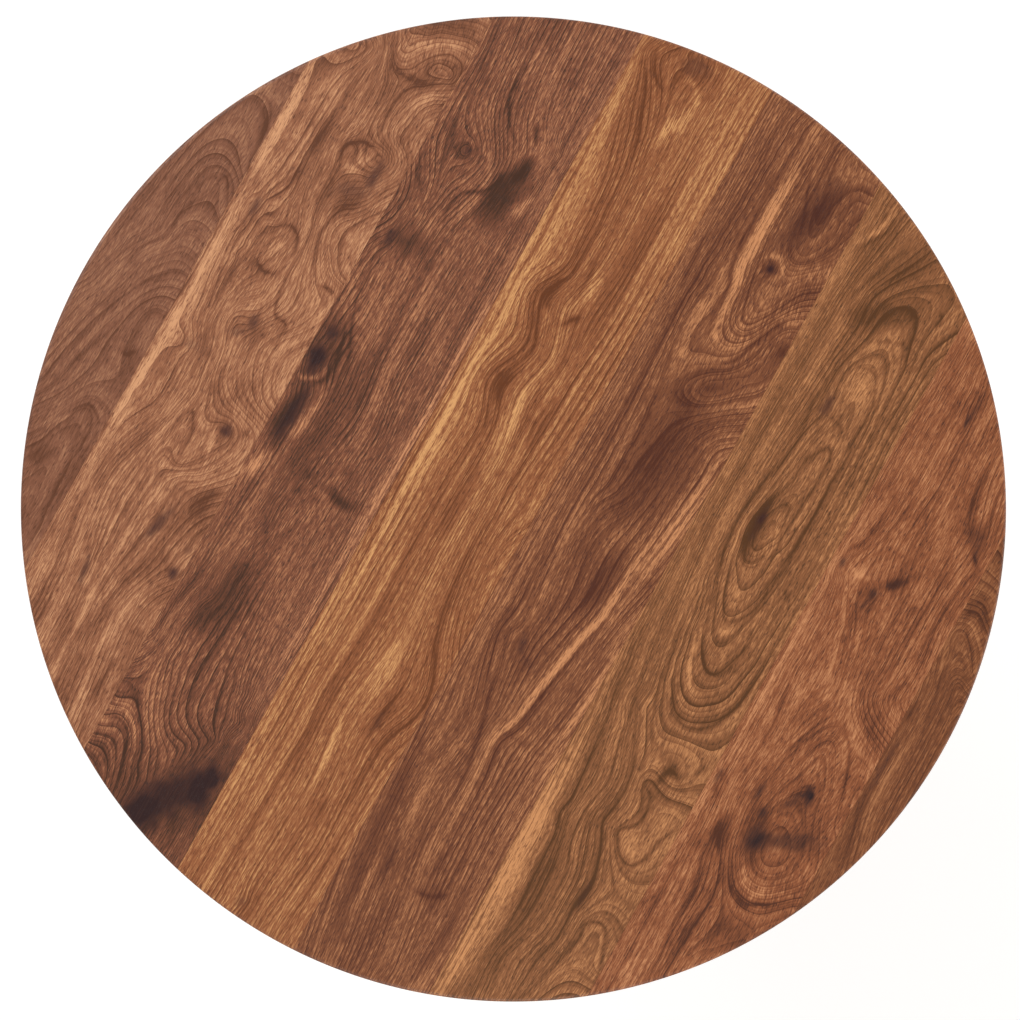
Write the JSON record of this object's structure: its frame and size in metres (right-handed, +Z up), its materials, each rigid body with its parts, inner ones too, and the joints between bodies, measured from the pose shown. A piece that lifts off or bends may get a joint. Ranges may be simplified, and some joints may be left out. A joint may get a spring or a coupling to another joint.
{
  "type": "tilt top table",
  "caption": "Round glued-up walnut top that tilts upright about pivot pins on a block, over a turned column and curved tripod legs, and is locked flat by a sliding bolt.",
  "frame": {"origin": "on the floor, under the middle of the top, on the column's axis", "axes": "+Z up; +X along the boards and the pivot line; -Y is the front, which the raised top faces, and +Y is the side with the sliding bolt"},
  "size_m": [0.9, 0.9, 0.72],
  "materials": {
    "walnut_light": "satin oil-varnish, lighter orange-brown boards",
    "walnut_mid": "satin oil-varnish, mid-brown boards",
    "walnut_dark": "satin oil-varnish, darker reddish-brown boards",
    "walnut_base": "satin oil-varnish",
    "wedge_beech": "sanded, unstained",
    "aged_brass": "turned and polished, slightly aged",
    "steel": "bright drawn wire",
    "black_iron": "blackened plate",
    "glide_nylon": "moulded, matte"
  },
  "bodies": {
    "pedestal": {"pivot_block": "walnut_base", "strike_plate": "aged_brass", "strike_screw_1": "aged_brass", "strike_screw_2": "aged_brass", "pivot_pin_left": "aged_brass", "pivot_pin_right": "aged_brass", "pivot_washer_left": "aged_brass", "pivot_washer_right": "aged_brass", "column": "walnut_base", "tenon_wedge": "wedge_beech", "leg_rear": "walnut_base", "leg_front_left": "walnut_base", "leg_front_right": "walnut_base", "glide_rear": "glide_nylon", "glide_front_left": "glide_nylon", "glide_front_right": "glide_nylon", "glide_nail_rear": "steel", "glide_nail_front_left": "steel", "glide_nail_front_right": "steel", "brace_plate": "black_iron", "brace_screw_leg_rear": "steel", "brace_screw_column_rear": "steel", "brace_screw_leg_front_left": "steel", "brace_screw_column_front_left": "steel", "brace_screw_leg_front_right": "steel", "brace_screw_column_front_right": "steel"},
    "top": {"top_board_1": "walnut_mid", "top_board_2": "walnut_light", "top_board_3": "walnut_dark", "top_board_4": "walnut_light", "top_board_5": "walnut_dark", "top_board_6": "walnut_mid", "top_board_7": "walnut_mid", "top_board_8": "walnut_dark", "batten_left": "walnut_base", "batten_right": "walnut_base", "batten_screw_left_1": "steel", "batten_screw_left_2": "steel", "batten_screw_left_3": "steel", "batten_screw_left_4": "steel", "batten_screw_left_5": "steel", "batten_screw_left_6": "steel", "batten_screw_right_1": "steel", "batten_screw_right_2": "steel", "batten_screw_right_3": "steel", "batten_screw_right_4": "steel", "batten_screw_right_5": "steel", "batten_screw_right_6": "steel", "pivot_bush_left": "aged_brass", "pivot_bush_right": "aged_brass", "bolt_plate": "aged_brass", "bolt_plate_screw_1": "aged_brass", "bolt_plate_screw_2": "aged_brass", "bolt_plate_screw_3": "aged_brass", "bolt_plate_screw_4": "aged_brass", "bolt_leaf_spring": "aged_brass"},
    "bolt": {"bolt_rod": "aged_brass", "bolt_knob": "aged_brass"}
  },
  "joints": [
    {"name": "top_tilt", "type": "hinge", "parent": "pedestal", "child": "top", "pos_m": [0, -0.08, 0.672], "axis": [1, 0, 0], "range_deg": [0, 90]},
    {"name": "bolt_slide", "type": "slide", "parent": "top", "child": "bolt", "axis": [0, -1, 0], "range_m": [0, 0.017]}
  ]
}
